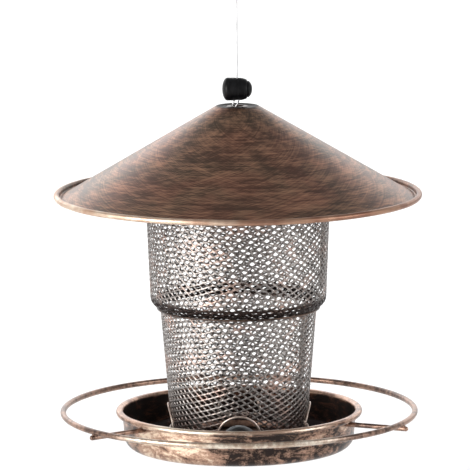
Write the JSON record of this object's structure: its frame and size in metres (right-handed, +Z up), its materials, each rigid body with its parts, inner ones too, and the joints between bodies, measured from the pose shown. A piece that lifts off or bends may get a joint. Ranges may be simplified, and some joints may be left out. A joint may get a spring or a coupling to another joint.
{
  "type": "hanging bird feeder",
  "caption": "Hanging bird feeder with a cone roof, a telescoping mesh hopper with seed ports, a round tray, a wire perch ring and a cable with a spring stopper.",
  "frame": {"origin": "inside of the hanging cable's eye, where a hook bears, on the feeder's axis", "axes": "+Z up along the feeder's axis of symmetry, -Y towards the viewer at the front port, +X to the right"},
  "size_m": [0.254, 0.254, 0.372],
  "materials": {
    "roof_copper": "brushed antique copper, satin",
    "rim_copper": "antique copper rubbed bright, satin",
    "tray_copper": "mottled antique copper, satin",
    "perch_copper": "antique copper on wire, satin",
    "mesh_metal": "expanded metal, dark pewter with copper tints, satin",
    "port_metal": "light copper wire edge, satin",
    "plain_steel": "zinc-plated steel, satin",
    "dome_metal": "grey pressed steel, satin",
    "cable_steel": "stranded steel, bright",
    "crimp_metal": "crimped aluminium, matt",
    "stopper_black": "black moulded plastic, satin"
  },
  "bodies": {
    "hopper": {"upper_sleeve": "mesh_metal", "upper_seam": "mesh_metal", "upper_band": "rim_copper", "lip_hoop": "mesh_metal", "cross_strap": "plain_steel", "strap_rivets": "rim_copper", "hanging_cable": "cable_steel", "cable_stops": "crimp_metal", "cable_ferrule": "crimp_metal"},
    "roof": {"roof_shell": "roof_copper", "roof_rim_wire": "plain_steel", "roof_eyelet": "rim_copper"},
    "stopper": {"stopper_body": "stopper_black", "stopper_spring": "plain_steel"},
    "button": {"stopper_button": "stopper_black"},
    "base": {"lower_sleeve": "mesh_metal", "lower_seam": "mesh_metal", "lower_hem": "rim_copper", "flange_hoop": "mesh_metal", "port_rim_front": "port_metal", "port_rim_right": "port_metal", "port_rim_back": "port_metal", "port_rim_left": "port_metal", "tray_pan": "tray_copper", "tray_rim_wire": "plain_steel", "base_cross": "plain_steel", "base_rivets": "rim_copper", "seed_dome": "dome_metal", "dome_screw": "plain_steel", "dome_washer": "plain_steel", "perch_ring": "perch_copper", "perch_arm_1": "perch_copper", "perch_arm_2": "perch_copper", "perch_arm_3": "perch_copper"}
  },
  "joints": [
    {"name": "collapse", "type": "slide", "parent": "hopper", "child": "base", "axis": [0, 0, 1], "range_m": [0, 0.092]},
    {"name": "roof_lift", "type": "slide", "parent": "hopper", "child": "roof", "axis": [0, 0, 1], "range_m": [0, 0.065]},
    {"name": "stopper_slide", "type": "slide", "parent": "roof", "child": "stopper", "axis": [0, 0, 1], "range_m": [0, 0.012]},
    {"name": "button_press", "type": "slide", "parent": "stopper", "child": "button", "axis": [-1, 0, 0], "range_m": [0, 0.0025], "stiffness_N_per_m": 600, "springref_m": -0.003, "deforming": ["stopper_spring"]}
  ]
}
